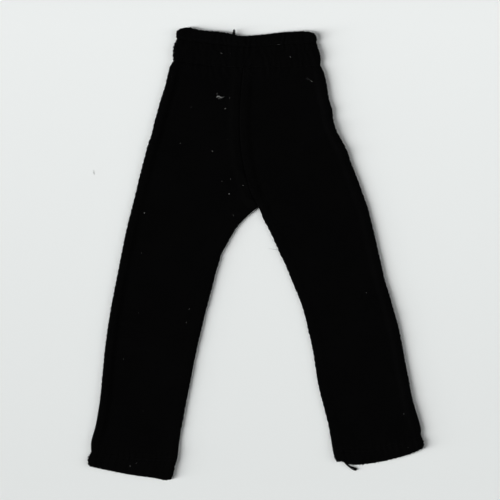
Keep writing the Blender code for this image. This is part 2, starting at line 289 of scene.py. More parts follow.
def jersey(name, grain=0.0, wale=WALE, course=COURSE, sheen=0.030, roughness=0.9):
    """Black cotton jersey whose wales run at this angle from +Y, in degrees to the right."""
    material, tree, shader, here = new_material(name, roughness, specular=0.02)
    x, y = turned_axes(tree, here, grain)
    across = maths(tree, "DIVIDE", x, wale * MM)
    arm = maths(tree, "MULTIPLY", maths(tree, "PINGPONG", across, 0.5), 2.0)
    along = maths(tree, "DIVIDE", y, course * MM)
    bent = maths(tree, "SUBTRACT", along, maths(tree, "MULTIPLY", arm, V_SLOPE))
    over_course = hump(tree, maths(tree, "FRACT", bent))
    over_arm = maths(tree, "MULTIPLY_ADD", hump(tree, arm), ARM_RELIEF, 1 - ARM_RELIEF)
    yarn = maths(tree, "MULTIPLY", maths(tree, "MULTIPLY", over_course, over_arm), YARN_SHARE)
    fibre = noise(tree, here, FIBRE_SIZE, NOISE_DETAIL)
    pile = maths(tree, "MULTIPLY_ADD", fibre, FIBRE_SHARE, yarn)
    wear = noise(tree, here, WEAR_SIZE, NOISE_DETAIL)
    # The colour follows the yarn's height, so the grooves get painted shade, times the real random wear.
    shade = maths(tree, "MULTIPLY", pile, maths(tree, "MULTIPLY_ADD", wear, WEAR_DEPTH, LEAST_WEAR))
    tree.links.new(ramp(tree, shade, GROOVE_PAINTED_SHADE, LOOP_BLACK), shader.inputs["Base Color"])
    smoothest = roughness - ROUGHNESS_RANGE / 2
    rough = maths(tree, "MULTIPLY_ADD", fibre, ROUGHNESS_RANGE, smoothest)
    tree.links.new(rough, shader.inputs["Roughness"])
    raised(tree, shader, pile, YARN_RELIEF)
    shader.inputs["Sheen Weight"].default_value = sheen
    shader.inputs["Sheen Roughness"].default_value = 0.3
    material.diffuse_color = (*LOOP_BLACK, 1.0)
    return material


RIGHT_GRAIN = 12.1
LEFT_GRAIN = -14.7
leg_jersey = {
    "right": jersey("leg_jersey_right", RIGHT_GRAIN),
    "left": jersey("leg_jersey_left", LEFT_GRAIN),
}
hem_jersey = {
    "right": jersey("hem_jersey_right", RIGHT_GRAIN, sheen=0.028),
    "left": jersey("hem_jersey_left", LEFT_GRAIN, sheen=0.028),
}
# Over the elastic the wales are drawn together.
band_jersey = jersey("waistband_jersey", wale=0.52, sheen=0.028)
casing_jersey = jersey("casing_jersey", wale=0.48, sheen=0.026, roughness=0.88)
print("jersey:", len(leg_jersey["right"].node_tree.nodes), "nodes")

# %% [markdown]
# ## Lines on the plan
#
# Each cut piece is a four-sided patch: a near and a far edge that run down it, and a top and a
# bottom edge across it. A few listed points give each edge, and a Catmull-Rom spline draws a
# smooth line through them, as a dressmaker's curve ruler does.

# %% Curve ruler
CURVE_STEPS = 24


def smooth_line(points):
    """A dense line through the points: a Catmull-Rom spline whose knots are the chord lengths."""
    points = np.array(points, float)
    chords = np.linalg.norm(np.diff(points, axis=0), axis=1)
    knots = np.concatenate([[0.0], np.cumsum(chords)])
    slopes = np.gradient(points, knots, axis=0)
    t = (np.arange(1, CURVE_STEPS + 1) / CURVE_STEPS)[:, None]
    blend = t * t * (3 - 2 * t)
    line = [points[:1]]
    for k, chord in enumerate(chords):
        straight = (1 - blend) * points[k] + blend * points[k + 1]
        leaving = t * (1 - t) ** 2 * chord * slopes[k]
        arriving = t * t * (t - 1) * chord * slopes[k + 1]
        line.append(straight + leaving + arriving)
    return np.concatenate(line)


def run_of(line):
    """Distance along the line at each of its points."""
    return np.concatenate([[0.0], np.cumsum(np.linalg.norm(np.diff(line, axis=0), axis=1))])


def points_at(line, fractions):
    """Points at these fractions of the line's length."""
    run = run_of(line)
    wanted = np.clip(fractions, 0, 1) * run[-1]
    return np.stack([np.interp(wanted, run, line[:, axis]) for axis in (0, 1)], axis=-1)


def shifted(line, distance):
    """The line moved to the left of its own direction, or to the right where negative."""
    along = np.gradient(line, axis=0)
    along /= np.linalg.norm(along, axis=1)[:, None]
    return line + distance * np.stack([-along[:, 1], along[:, 0]], axis=1)


def fade(distance, reach):
    """1 at no distance, and smoothly down to 0 at the reach."""
    t = np.clip(1 - distance / reach, 0, 1)
    return t * t * (3 - 2 * t)


# %% [markdown]
# ## Cloth is never even
#
# Two kinds of unevenness are enough. `uneven` makes waves along a line, whose crests differ in
# spacing and height, for puckers, gathers and ripples. `lumps` makes soft random hills over the
# plan. `gathers` bends the waves with lumps. All start from a fixed seed, so the garment is the same
# each time. A seam's two sides use the same seed, so that a pucker runs across the seam.

# %% Uneven waves and soft lumps
SEEDS = {
    "side": 11, "centre": 12, "inseam": 13, "waist": 14, "hem": 15, "casing": 16, "lumps": 17,
    "rise": 18, "hem stitches": 30, "casing stitches": 34, "tufts": 40, "fuzz": 50, "lint": 60,
}
LONGEST_RUN = 420.0
SPACINGS = (0.5, 1.5)
CREST_HEIGHTS = (0.3, 1.0)
BROAD_WANDER = 0.8
BROAD_LUMP = 2.6
FINE_WANDER = 0.3
SWELL = 0.45
SWELL_LUMP = 1.9


def uneven(run, spacing, seed):
    """Waves from -1 to 1 along a run, whose crests are about this far apart."""
    draw = np.random.default_rng(seed)
    count = int(2 * LONGEST_RUN / spacing)
    knots = np.cumsum(spacing / 2 * draw.uniform(*SPACINGS, count)) - LONGEST_RUN / 2
    heights = draw.uniform(*CREST_HEIGHTS, count) * (-1.0) ** np.arange(count)
    after = np.clip(np.searchsorted(knots, run), 1, count - 1)
    share = np.clip((run - knots[after - 1]) / (knots[after] - knots[after - 1]), 0, 1)
    ease = (1 - np.cos(np.pi * share)) / 2
    return heights[after - 1] * (1 - ease) + heights[after] * ease


def lumps(plan, width, seed):
    """Soft random hills and hollows from -1 to 1, about this wide."""
    count = int(LONGEST_RUN / width) + 3
    grid = np.random.default_rng(seed).uniform(-1, 1, (count, count))
    place = (plan + LONGEST_RUN / 2) / width
    cell = np.floor(place).astype(int)
    share = place - cell
    share = share * share * (3 - 2 * share)
    x, y, u, v = cell[..., 0], cell[..., 1], share[..., 0], share[..., 1]
    low_row = grid[x, y] * (1 - u) + grid[x + 1, y] * u
    high_row = grid[x, y + 1] * (1 - u) + grid[x + 1, y + 1] * u
    return low_row * (1 - v) + high_row * v


def gathers(plan, spacing, seed):
    """Ripples across an elastic, from -1 to 1, which wander, swell and die out on their way."""
    broad = BROAD_WANDER * lumps(plan, BROAD_LUMP * spacing, seed)
    fine = FINE_WANDER * lumps(plan, spacing, seed + 1)
    strength = 1 - SWELL + SWELL * lumps(plan, SWELL_LUMP * spacing, seed + 2)
    return strength * uneven(plan[..., 0] + spacing * (broad + fine), spacing, seed)


# %% [markdown]
# ## Creases, one by one
#
# Simulated cloth would fall into creases of its own. These have to lie where this garment has them:
# at the hip, where the outline kinks, round the crotch, at the knees and above the hems. Each row
# of the table is a crease: where it starts and ends, how far its middle bows to the left of that
# way, half its width, and its height at the start, which is a trough where negative. Towards its
# end a crease loses three quarters of its height. The first nine are the largest, and the solids
# have them too.

# %% Crease tables
# Start, end, bow, half width, height.
FRONT_CREASES = (
    ((46.0, 74.5), (17.0, 55.0), 0.0, 3.6, 0.9),
    ((53.0, 60.0), (27.0, 47.0), 0.0, 3.4, 0.5),
    ((-4.0, 34.0), (-33.0, 46.0), 0.0, 3.4, 0.6),
    ((7.0, 31.0), (33.0, 37.0), 0.0, 3.2, 0.5),
    ((-62.0, 62.0), (-36.0, 55.0), 0.0, 3.6, 0.5),
    ((-87.0, -47.0), (-50.0, -57.0), 0.0, 4.0, 0.5),
    ((81.0, -36.0), (44.0, -43.0), 0.0, 4.0, 0.5),
    ((-93.0, -99.0), (-58.0, -106.0), 0.0, 3.6, 0.4),
    ((93.0, -91.0), (60.0, -101.0), 0.0, 3.6, 0.4),
    # The hip fold's shadow side, and the fine creases that gather into it.
    ((45.0, 79.5), (20.0, 61.5), 1.5, 1.6, -0.39),
    ((44.5, 85.0), (27.0, 76.0), 1.0, 1.5, 0.42),
    ((50.0, 66.5), (33.0, 56.0), 1.2, 1.3, -0.31),
    # Drag lines that fan out from the crotch.
    ((-1.0, 30.5), (-22.0, 33.0), -2.0, 1.5, 0.48),
    ((-6.0, 24.5), (-27.0, 20.0), -1.5, 1.7, 0.36),
    ((-3.5, 38.0), (-16.0, 55.0), -1.5, 1.5, 0.39),
    ((4.0, 28.0), (22.0, 28.5), 1.5, 1.4, 0.42),
    ((8.0, 15.5), (26.0, 12.0), 1.5, 1.7, 0.34),
    ((-1.0, 37.5), (14.0, 50.0), 1.5, 1.4, 0.36),
    # The wearer's right hip and thigh.
    ((-57.0, 80.0), (-41.0, 78.0), -1.0, 1.6, 0.34),
    ((-65.5, 50.0), (-47.0, 46.5), 1.4, 1.7, 0.36),
    ((-77.0, 2.0), (-58.0, -3.0), 1.5, 1.9, 0.31),
    # Behind the knees the cloth has been bent, and keeps short cross creases.
    ((-85.0, -39.0), (-62.0, -43.5), 1.6, 1.6, 0.42),
    ((-34.0, -50.0), (-54.0, -49.0), 1.2, 1.5, 0.36),
    ((-87.5, -60.0), (-68.0, -63.0), -1.2, 1.5, 0.34),
    ((-37.5, -67.0), (-56.0, -65.5), -1.3, 1.6, 0.31),
    ((79.5, -27.0), (60.0, -32.0), -1.4, 1.6, 0.36),
    ((30.5, -41.0), (49.0, -35.5), 1.3, 1.5, 0.36),
    ((85.0, -49.0), (65.0, -51.0), 1.2, 1.6, 0.39),
    ((34.0, -57.0), (51.0, -54.0), -1.2, 1.5, 0.31),
    # Above the hems.
    ((-91.5, -88.0), (-71.0, -92.0), 1.4, 1.5, 0.34),
    ((-43.0, -100.0), (-60.0, -97.5), 1.2, 1.5, 0.34),
    ((92.0, -80.0), (72.0, -87.5), -1.4, 1.6, 0.36),
    ((41.5, -96.0), (58.0, -90.0), 1.2, 1.4, 0.31),
)
# The back lies on the floor, so its creases are shallow hollows under it.
BACK_CREASES = (
    ((44.0, 76.0), (14.0, 58.0), 2.0, 2.6, 0.24),
    ((-2.0, 34.0), (-30.0, 42.0), -2.0, 2.4, 0.22),
    ((5.0, 32.0), (31.0, 39.0), 2.0, 2.4, 0.22),
    ((-62.0, 60.0), (-35.0, 58.0), -2.0, 2.2, 0.18),
    ((-85.0, -44.0), (-50.0, -52.0), 2.0, 2.6, 0.22),
    ((-38.0, -60.0), (-64.0, -62.0), 1.0, 2.2, 0.18),
    ((80.0, -33.0), (46.0, -44.0), -2.0, 2.6, 0.22),
    ((34.0, -55.0), (60.0, -56.0), -1.0, 2.2, 0.18),
    ((-92.0, -96.0), (-62.0, -104.0), 1.6, 2.2, 0.18),
    ((92.0, -88.0), (60.0, -99.0), -1.6, 2.2, 0.18),
)
CREASE_FADE = 0.75


def creased(plan, creases):
    """How far the creases lift the cloth at these plan points."""
    lift = np.zeros(plan.shape[:-1])
    for start, end, bow, half_width, height in creases:
        run = np.subtract(end, start)
        length = np.linalg.norm(run)
        ahead = run / length
        along = np.clip(((plan - start) @ ahead) / length, 0, 1)
        bowed = bow * 4 * along * (1 - along)
        middle = start + along[..., None] * run + bowed[..., None] * np.array([-ahead[1], ahead[0]])
        aside = np.linalg.norm(plan - middle, axis=-1)
        lift += height * (1 - CREASE_FADE * along) * np.exp(-((aside / half_width) ** 2))
    return lift


print(len(FRONT_CREASES), "creases in front and", len(BACK_CREASES), "behind")

# %% [markdown]
# ## How an edge of cloth is shaped
#
# A piece ends in one of two ways:
#
# - `turned`: at a side seam, an inseam or a fold, the cloth rolls over the edge and a little back
#   under it, down to the other layer. The outline is the roll's widest place.
# - `sunk`: at a flat seam between two pieces, the cloth dips into the seam, and its neighbour does
#   the same from the other side.
#
# `section` gives either, from the edge inwards, as four lists: how far in each line of points
# lies, how far up the cloth has turned there (0 to 1), how deep it has sunk there (1 to 0), and how
# far it has rolled back under the edge. Where two turned edges meet, what has rolled under one has
# to make way for the other, so the corner is tucked in by that much, as a folded corner is.

# %% Edge sections
EDGE_STEPS = 7
SUNK_WIDTH = 1.5
SEAM_GAP = 0.03


def section(kind, roll, under, depth):
    """A turned or a sunk edge, for the outer skin or for the inner one at the cloth's depth."""
    flat = np.pi / 2
    if kind == "sunk":
        angles = np.linspace(0, flat, EDGE_STEPS + 1)
        inset = SEAM_GAP / 2 + SUNK_WIDTH * (1 - np.cos(angles))
        return inset, np.ones_like(angles), 1 - np.sin(angles), np.zeros_like(angles)
    angles = np.linspace(-np.radians(under), flat, EDGE_STEPS + 1)
    lowest = np.sin(angles[0])
    rolled = (roll - depth) * (1 - np.cos(angles))
    turned = (np.sin(angles) - lowest) / (1 - lowest)
    return depth + rolled, turned, np.zeros_like(angles), np.where(angles < 0, rolled, 0.0)


for step in zip(*section("turned", roll=1.6, under=40, depth=0.0)):
    print("a turned edge: {:.2f} mm in, {:.2f} of the way up".format(*step[:2]))

# %% [markdown]
# ## From patch to wall
#
# `skin` places every point of one side of the cloth. The plan is blended from the patch's four
# edges, which is called a Coons patch. Then comes the height. A front piece goes from its lip,
# where it meets the back piece, up to the full height of both layers, and a back piece from its lip
# down to the floor. The seam allowances lie inside, so the cloth is higher for a few millimetres
# along each seam, and then steps down.

# %% Plan of a piece


def coons(piece, across, down):
    """Plan points of a four-sided piece, at these fractions across and down it."""
    start, end = np.zeros_like(across), np.ones_like(across)
    u, v = across[..., None], down[..., None]
    top, bottom = piece["top_edge"], piece["bottom_edge"]
    sides = (1 - u) * piece["near_edge"](down) + u * piece["far_edge"](down)
    ends = (1 - v) * top(across) + v * bottom(across)
    top_chord = (1 - u) * top(start) + u * top(end)
    bottom_chord = (1 - u) * bottom(start) + u * bottom(end)
    return sides + ends - (1 - v) * top_chord - v * bottom_chord


def headings(start_edge, end_edge, share):
    """Directions straight over the piece, from one edge to the opposite one."""
    way = end_edge(share) - start_edge(share)
    return way / np.linalg.norm(way, axis=-1)[..., None]


def rows_down(piece, depth):
    """Distance down the piece of each row, and how far it has turned, sunk and rolled there."""
    top_in, *top_form = section(piece["top"], piece["roll"], piece["under"], depth)
    end_in, *end_form = section(piece["bottom"], piece["roll"], piece["under"], depth)
    middle = np.linspace(top_in[-1], piece["length"] - end_in[-1], piece["rows"] + 1)[1:-1]
    down = np.concatenate([top_in, middle, piece["length"] - end_in[::-1]])
    form = []
    for top_part, flat_part, end_part in zip(top_form, (1.0, 0.0, 0.0), end_form):
        part = np.concatenate([top_part, np.full_like(middle, flat_part), end_part[::-1]])
        form.append(part[:, None])
    return down[:, None], *form


def columns_across(piece, depth, width, curl):
    """Distance of each column from the near edge, and how far it has turned, sunk and rolled."""
    turned_in, edge_turned, _, edge_rolled = section("turned", piece["roll"], piece["under"], depth)
    seam_in, _, seam_sunk, _ = section("sunk", piece["roll"], piece["under"], depth)
    near_in = np.tile(turned_in, (len(width), 1))
    far_in = (curl * turned_in + (1 - curl) * seam_in)[:, ::-1]
    share = np.linspace(0, 1, piece["columns"] + 1)[1:-1]
    middle = near_in[:, -1:] + (width - far_in[:, :1] - near_in[:, -1:]) * share
    across = np.concatenate([near_in, middle, width - far_in], axis=1)
    far_turned = 1 - curl * (1 - edge_turned[::-1])
    turned = [np.tile(edge_turned, (len(width), 1)), np.ones_like(middle), far_turned]
    sunk = [np.zeros_like(near_in), np.zeros_like(middle), (1 - curl) * seam_sunk[::-1]]
    rolled = [np.tile(edge_rolled, (len(width), 1)), np.zeros_like(middle), curl * edge_rolled[::-1]]
    return across, *(np.concatenate(part, axis=1) for part in (turned, sunk, rolled))


# %% Height of a piece
LIP_GAP = 0.1
ALLOWANCE_FLAT = 3.4
ALLOWANCE_STEP = 3.8
WAVE_REACH = 5.0
SEAM_HOLD = 1.6
TUCK = 0.9
TUCK_REACH = 4.0
LAYER_CLEARANCE = 0.05


def held(piece, at):
    """1 where an edge is free to stray, and 0 where a flat seam across the piece holds it."""
    from_top = fade(at["down"], SEAM_HOLD) if piece["top"] == "sunk" else 0.0
    from_bottom = fade(at["up"], SEAM_HOLD) if piece["bottom"] == "sunk" else 0.0
    return 1 - np.maximum(from_top, from_bottom)


def tucked(piece, at, rolled, row_rolled):
    """How far a corner between two turned edges is moved across the piece, and down it."""
    across = row_rolled * (fade(at["near"], TUCK_REACH) - fade(at["far"], TUCK_REACH))
    from_top = fade(at["down"], TUCK_REACH) if piece["top"] == "turned" else 0.0
    from_bottom = fade(at["up"], TUCK_REACH) if piece["bottom"] == "turned" else 0.0
    return TUCK * across, TUCK * rolled * (from_top - from_bottom)


def skin(piece, depth):
    """Points of the outer skin, or of the inner one at the cloth's depth, row by row."""
    down, row_turned, row_sunk, row_rolled = rows_down(piece, depth)
    share = down / piece["length"]
    width = np.linalg.norm(piece["far_edge"](share) - piece["near_edge"](share), axis=-1)
    curl = piece["curl"](down)
    across, turned, sunk, rolled = columns_across(piece, depth, width, curl)
    down = np.broadcast_to(down, across.shape)
    at = {"down": down, "up": piece["length"] - down, "share": down / piece["length"]}
    at |= {"near": across, "far": width - across}
    plan = coons(piece, across / width, at["share"])
    near_wave, far_wave, end_wave = piece["waves"](at)
    inwards = near_wave * fade(at["near"], WAVE_REACH) - curl * far_wave * fade(at["far"], WAVE_REACH)
    tuck_across, tuck_down = tucked(piece, at, rolled, row_rolled)
    inwards = inwards * held(piece, at) + tuck_across
    end_wave = end_wave + tuck_down
    plan = plan + inwards[..., None] * headings(piece["near_edge"], piece["far_edge"], at["share"])
    plan = plan + end_wave[..., None] * headings(piece["top_edge"], piece["bottom_edge"], across / width)
    at["plan"] = plan
    turned = turned * row_turned
    row_sink = np.where(down < at["up"], piece["top_sink"], piece["bottom_sink"]) * row_sunk
    sink = np.maximum(piece["far_sink"] * sunk, row_sink)
    seam_height, middle_height = piece["heights"](at)
    if piece["layer"] == "back":
        lip = (seam_height - LIP_GAP) / 2
        hollow = depth if depth else np.maximum(piece["relief"](at), 0) + sink
        return np.dstack([plan, lip - (lip - hollow) * turned])
    lip = (seam_height + LIP_GAP) / 2
    from_seam = np.minimum(at["near"], at["far"])
    ridge = fade(np.maximum(from_seam - ALLOWANCE_FLAT, 0), ALLOWANCE_STEP)
    height = middle_height + (seam_height - middle_height) * ridge + piece["relief"](at)
    if not depth:
        return np.dstack([plan, lip + (height - sink - lip) * turned])
    z = lip + (height - depth - lip) * turned
    return np.dstack([plan, np.maximum(z, depth + LAYER_CLEARANCE)])


# %% [markdown]
# The mesh itself is made as by hand. A grid primitive is the outer skin, and extruding all of it
# gives the inner skin and the rim between them, so the wall is closed from the start. Its normals
# are made consistent while it is still a plain box. Then each point is moved to its place: the row
# and the column of a point are read from where it stands in the grid. A piece that is mirrored by
# this move has its faces flipped, which its signed volume shows.

# %% Wall of cloth
CREASE_ANGLE = 60.0


def edit_all(thing):
    """Starts edit mode, with the object's whole mesh selected."""
    bpy.context.view_layer.objects.active = thing
    bpy.ops.object.mode_set(mode="EDIT")
    bpy.ops.mesh.select_all(action="SELECT")


def leave_edit():
    bpy.ops.object.mode_set(mode="OBJECT")


def points_of(mesh):
    places = np.empty(3 * len(mesh.vertices))
    mesh.vertices.foreach_get("co", places)
    return places.reshape(-1, 3)


def signed_volume(mesh):
    """Positive where the faces point out."""
    mesh.calc_loop_triangles()
    corners = np.empty(3 * len(mesh.loop_triangles), int)
    mesh.loop_triangles.foreach_get("vertices", corners)
    a, b, c = points_of(mesh)[corners.reshape(-1, 3)].transpose(1, 0, 2)
    return float((a * np.cross(b, c)).sum() / 6)


def cloth_wall(name, piece, material):
    """A closed wall of cloth in the piece's form."""
    outer, inner = skin(piece, 0.0), skin(piece, piece["cloth"])
    rows, columns = outer.shape[0] - 1, outer.shape[1] - 1
    deselect_all()
    bpy.ops.mesh.primitive_grid_add(x_subdivisions=columns, y_subdivisions=rows, size=2)
    wall = bpy.context.object
    wall.name = name
    edit_all(wall)
    bpy.ops.mesh.extrude_region_move(TRANSFORM_OT_translate={"value": (0, 0, -1)})
    bpy.ops.mesh.select_all(action="SELECT")
    bpy.ops.mesh.normals_make_consistent(inside=False)
    leave_edit()
    grid = points_of(wall.data)
    row = np.rint((1 - grid[:, 1]) / 2 * rows).astype(int)
    column = np.rint((1 + grid[:, 0]) / 2 * columns).astype(int)
    is_inner = grid[:, 2:] < -0.5
    placed = np.where(is_inner, inner[row, column], outer[row, column]) * MM
    wall.data.vertices.foreach_set("co", placed.ravel())
    wall.data.update()
    if signed_volume(wall.data) < 0:
        edit_all(wall)
        bpy.ops.mesh.flip_normals()
        leave_edit()
    bpy.ops.object.shade_smooth_by_angle(angle=np.radians(CREASE_ANGLE))
    wall.data.materials.append(material)
    print(f"{name}: {rows} x {columns} cells, {signed_volume(wall.data) / MM**3:.0f} cubic mm")
    return wall


# %% [markdown]
# ## The leg panels
#
# A pair of leggings like this is cut as two fronts and two backs. Laid flat, each front lies on its
# back, so both share one outline. The outer side runs down from the waist in two stretches, above
# and below the level of the crotch, opposite the centre seam and the inseam.

# %% Outline of the legs
CROTCH = (1.4, 27.5)
CENTRE_SEAM = (
    (-7.5, 109.1), (-9.0, 91.7), (-9.6, 75.7), (-8.6, 59.7), (-5.7, 44.7), (-2.3, 34.2),
    CROTCH,
)
WAIST_SEAM = ((-48.3, 112.6), (-27.6, 110.0), (-7.5, 109.1), (15.2, 109.3), (37.5, 110.1))
SIDE_ABOVE_CROTCH = {
    "right": (
        (-48.3, 112.6), (-50.0, 109.6), (-51.1, 106.0), (-52.9, 98.4), (-55.7, 89.6),
        (-58.6, 79.2), (-59.7, 75.2), (-60.8, 70.0), (-62.7, 64.8), (-64.6, 57.9), (-72.2, 27.5),
    ),
    "left": (
        (37.5, 110.1), (39.2, 106.5), (41.1, 99.1), (42.4, 90.7), (44.3, 84.3), (45.2, 77.3),
        (46.8, 72.1), (49.9, 66.2), (52.9, 60.4), (54.9, 54.6), (59.7, 42.0), (65.0, 27.4),
    ),
}
SIDE_BELOW_CROTCH = {
    "right": (
        (-72.2, 27.5), (-74.9, 17.0), (-78.7, -1.4), (-85.8, -38.9), (-88.1, -55.2),
        (-89.9, -73.9), (-94.0, -101.9), (-96.1, -109.5), (-96.3, -114.9),
    ),
    "left": (
        (65.0, 27.4), (67.9, 16.0), (71.9, -1.5), (75.8, -17.8), (77.8, -24.0), (79.7, -31.0),
        (82.0, -39.0), (88.9, -72.8), (92.8, -90.4), (95.5, -99.2), (96.2, -102.3), (96.2, -104.7),
    ),
}
INSEAM = {
    "right": (
        CROTCH, (-5.1, 22.2), (-9.8, 17.5), (-17.2, 5.7), (-20.5, -0.6), (-22.0, -5.8),
        (-23.5, -10.6), (-26.3, -21.5), (-27.9, -27.5), (-29.7, -34.0), (-31.9, -43.5),
        (-33.0, -48.1), (-36.1, -62.0), (-38.4, -74.0), (-40.7, -85.5), (-45.5, -114.7),
        (-45.9, -119.1),
    ),
    "left": (
        CROTCH, (3.7, 21.9), (8.6, 12.4), (13.1, 2.4), (17.2, -6.3), (20.8, -15.0),
        (26.7, -29.6), (29.2, -38.0), (30.6, -44.5), (32.3, -51.5), (33.5, -57.7),
        (36.5, -76.5), (40.0, -90.4), (42.2, -98.8), (44.5, -113.1),
    ),
}
HEM_LINE = {
    "right": ((-96.3, -114.9), (-79.9, -117.3), (-62.2, -118.9), (-45.9, -119.1)),
    "left": ((96.2, -104.7), (80.1, -110.9), (60.4, -114.0), (44.5, -113.1)),
}
for side in ("right", "left"):
    inseam = run_of(smooth_line(INSEAM[side]))[-1]
    print(f"the {side} inseam is {inseam:.0f} mm long")

# %% [markdown]
# The height of the two layers together is 3.1 mm over the centre seam, 3.1 to 3.7 mm over the side
# seams, which are fullest at the hip, and 2.5 mm mid-panel and at the inseam, which is pressed flat.
# The shadows show this: the higher an edge, the wider its shadow. The cloth rises to the thicker
# waistband and hem within 12 mm, not all at the same place.

# %% Sizes of a leg panel
# Thickness of the wall, radius of a turned edge and degrees it rolls under, how each end is sewn,
# and how deep each seam sinks.
LEG = {
    "cloth": 1.0, "roll": 1.6, "under": 40, "top": "sunk", "bottom": "sunk",
    "top_sink": 0.55, "bottom_sink": 0.3, "far_sink": 0.5,
}
LEG_SEAM_HEIGHT = 3.1
LEG_MIDDLE_HEIGHT = 2.45
INSEAM_HEIGHT = 2.55
# Height over the side seam, at these distances down from the waist seam.
SIDE_SEAM_HEIGHT = ((0.0, 45.0, 62.0, 90.0, 140.0, 210.0), (3.6, 3.7, 3.3, 3.1, 3.4, 3.4))
SEAM_REACH = 20.0
BAND_HEIGHT = 3.7
HEM_HEIGHT = 3.5
STRIP_SLACK = 0.2
RISE_TO_STRIP = 12.0
RISE_WANDER = 0.35
RISE_LUMP = 9.0
CROTCH_FADE = 9.0
CELL = {"front": 0.7, "back": 1.0}
LEG_COLUMNS = {"front": 70, "back": 46}
# Height and width of the soft hills all over a front panel.
PANEL_LUMPS = ((0.12, 17.0), (0.05, 6.0))
# The back is pressed on the floor, so its seams show only so much of what the front has.
BACK_SHARE = 0.5
print("over the side seam:", *SIDE_SEAM_HEIGHT[1], "mm high, and mid-panel:", LEG_MIDDLE_HEIGHT)

# %% [markdown]
# Seams in knit cloth pucker a little at every few stitches, and the elastic gathers the cloth below
# the waistband. No edge is straight either: it has soft waves between the stitches, small nicks,
# and a nap that makes it stand out a little, all of which `edge_wave` adds. Where a flat seam
# crosses, it holds the edge in its place.

# %% Puckers, gathers and the edge's own waves
PUCKER = 0.16
PUCKER_SPACING = 3.4
PUCKER_REACH = 2.6
GATHER = 0.26
GATHER_SPACING = 4.4
GATHER_REACH = 13.0
EDGE_WAVE = 0.17
EDGE_NICK = 0.15
NICK_SPACING = 1.9
NICK_SEED = 40
NAP = 0.14


def edge_wave(run, spacing, seed, ragged=1.0):
    """How far an edge strays inwards: soft waves between the stitches, and small nicks in the nap."""
    wave = EDGE_WAVE * uneven(run, spacing, seed)
    nick = EDGE_NICK * uneven(run, NICK_SPACING, seed + NICK_SEED)
    return ragged * (wave + nick) - NAP


def puckers(run, from_seam, seed):
    """Short ridges across a seam, which die out a few millimetres from it."""
    return PUCKER * uneven(run, PUCKER_SPACING, seed) * np.exp(-from_seam / PUCKER_REACH)


# %% [markdown]
# A panel is a table of lines, numbers and three functions, which `skin` asks about every point at
# once. `at` holds each point's distance from the near and the far edge, down from the top and up
# from the bottom, its share of the way down, and its plan. `heights` gives the height over the seams
# and mid-way, `waves` how far the near, the far and the end edge stray, and `relief` the rest.

# %% Form of a leg panel


def leg_panel(side, layer):
    """Hip to hem line, from the side seam in to the centre seam and the inseam."""
    above, below = smooth_line(SIDE_ABOVE_CROTCH[side]), smooth_line(SIDE_BELOW_CROTCH[side])
    centre_seam, inseam = smooth_line(CENTRE_SEAM), smooth_line(INSEAM[side])
    waist_seam, hem_line = smooth_line(WAIST_SEAM), smooth_line(HEM_LINE[side])
    half = len(waist_seam) // 2
    half_waist = waist_seam[: half + 1] if side == "right" else waist_seam[: half - 1 : -1]
    rise = run_of(above)[-1]
    length = rise + run_of(below)[-1]
    crotch = rise / length

    def below_crotch(down):
        return 1 - fade(np.maximum(down - rise, 0), CROTCH_FADE)

    def past_crotch(upper, lower):
        def points(share):
            upper_points = points_at(upper, share / crotch)
            lower_points = points_at(lower, (share - crotch) / (1 - crotch))
            return np.where((share <= crotch)[..., None], upper_points, lower_points)

        return points

    def heights(at):
        reach = RISE_TO_STRIP * (1 + RISE_WANDER * lumps(at["plan"], RISE_LUMP, SEEDS["rise"]))
        to_band, to_hem = fade(at["down"], reach), fade(at["up"], reach)
        fuller = np.interp(at["down"], *SIDE_SEAM_HEIGHT) - LEG_SEAM_HEIGHT
        flatter = (INSEAM_HEIGHT - LEG_SEAM_HEIGHT) * below_crotch(at["down"])
        plain = LEG_SEAM_HEIGHT + fuller * fade(at["near"], SEAM_REACH)
        plain = plain + flatter * fade(at["far"], SEAM_REACH)
        seam = plain + (BAND_HEIGHT - plain) * to_band
        seam = seam + (HEM_HEIGHT - plain) * to_hem
        middle = LEG_MIDDLE_HEIGHT + (BAND_HEIGHT - STRIP_SLACK - LEG_MIDDLE_HEIGHT) * to_band
        return seam, middle + (HEM_HEIGHT - STRIP_SLACK - LEG_MIDDLE_HEIGHT) * to_hem

    def waves(at):
        near = edge_wave(at["down"], PUCKER_SPACING, SEEDS["side"])
        far = edge_wave(at["down"], PUCKER_SPACING, SEEDS["inseam"])
        return near, far, np.zeros_like(near)

    def relief(at):
        below_band = gathers(at["plan"], GATHER_SPACING, SEEDS["waist"])
        lift = GATHER * below_band * fade(at["down"], GATHER_REACH)
        lift = lift + puckers(at["down"], at["near"], SEEDS["side"])
        lift = lift + puckers(at["down"], at["far"], SEEDS["centre"])
        if layer == "back":
            return BACK_SHARE * lift + creased(at["plan"], BACK_CREASES)
        lift = lift + puckers(at["near"], at["up"], SEEDS["hem"])
        for number, (height, width) in enumerate(PANEL_LUMPS):
            lift = lift + height * lumps(at["plan"], width, SEEDS["lumps"] + number)
        return lift + creased(at["plan"], FRONT_CREASES)

    return {
        **LEG,
        "layer": layer,
        "near_edge": past_crotch(above, below),
        "far_edge": past_crotch(centre_seam, inseam),
        "top_edge": lambda share: points_at(half_waist, share),
        "bottom_edge": lambda share: points_at(hem_line, share),
        "length": length,
        "rows": round(length / CELL[layer]),
        "columns": LEG_COLUMNS[layer],
        "curl": below_crotch,
        "heights": heights,
        "waves": waves,
        "relief": relief,
    }


# %% Leg panels
shells = {}
for layer in ("back", "front"):
    for side in ("right", "left"):
        name = f"leg_{layer}_{side}"
        shells[f"{layer}_{side}"] = cloth_wall(name, leg_panel(side, layer), leg_jersey[side])

# %% [markdown]
# ## Strips round the waist and the leg ends
#
# The waistband, the casing and the hems are narrow strips of the same patch, each with its own four
# lines. Their near and far ends are folds at the sides of the garment, so both are turned, and
# their waves are shorter than those of a long seam.

# %% Form of a strip


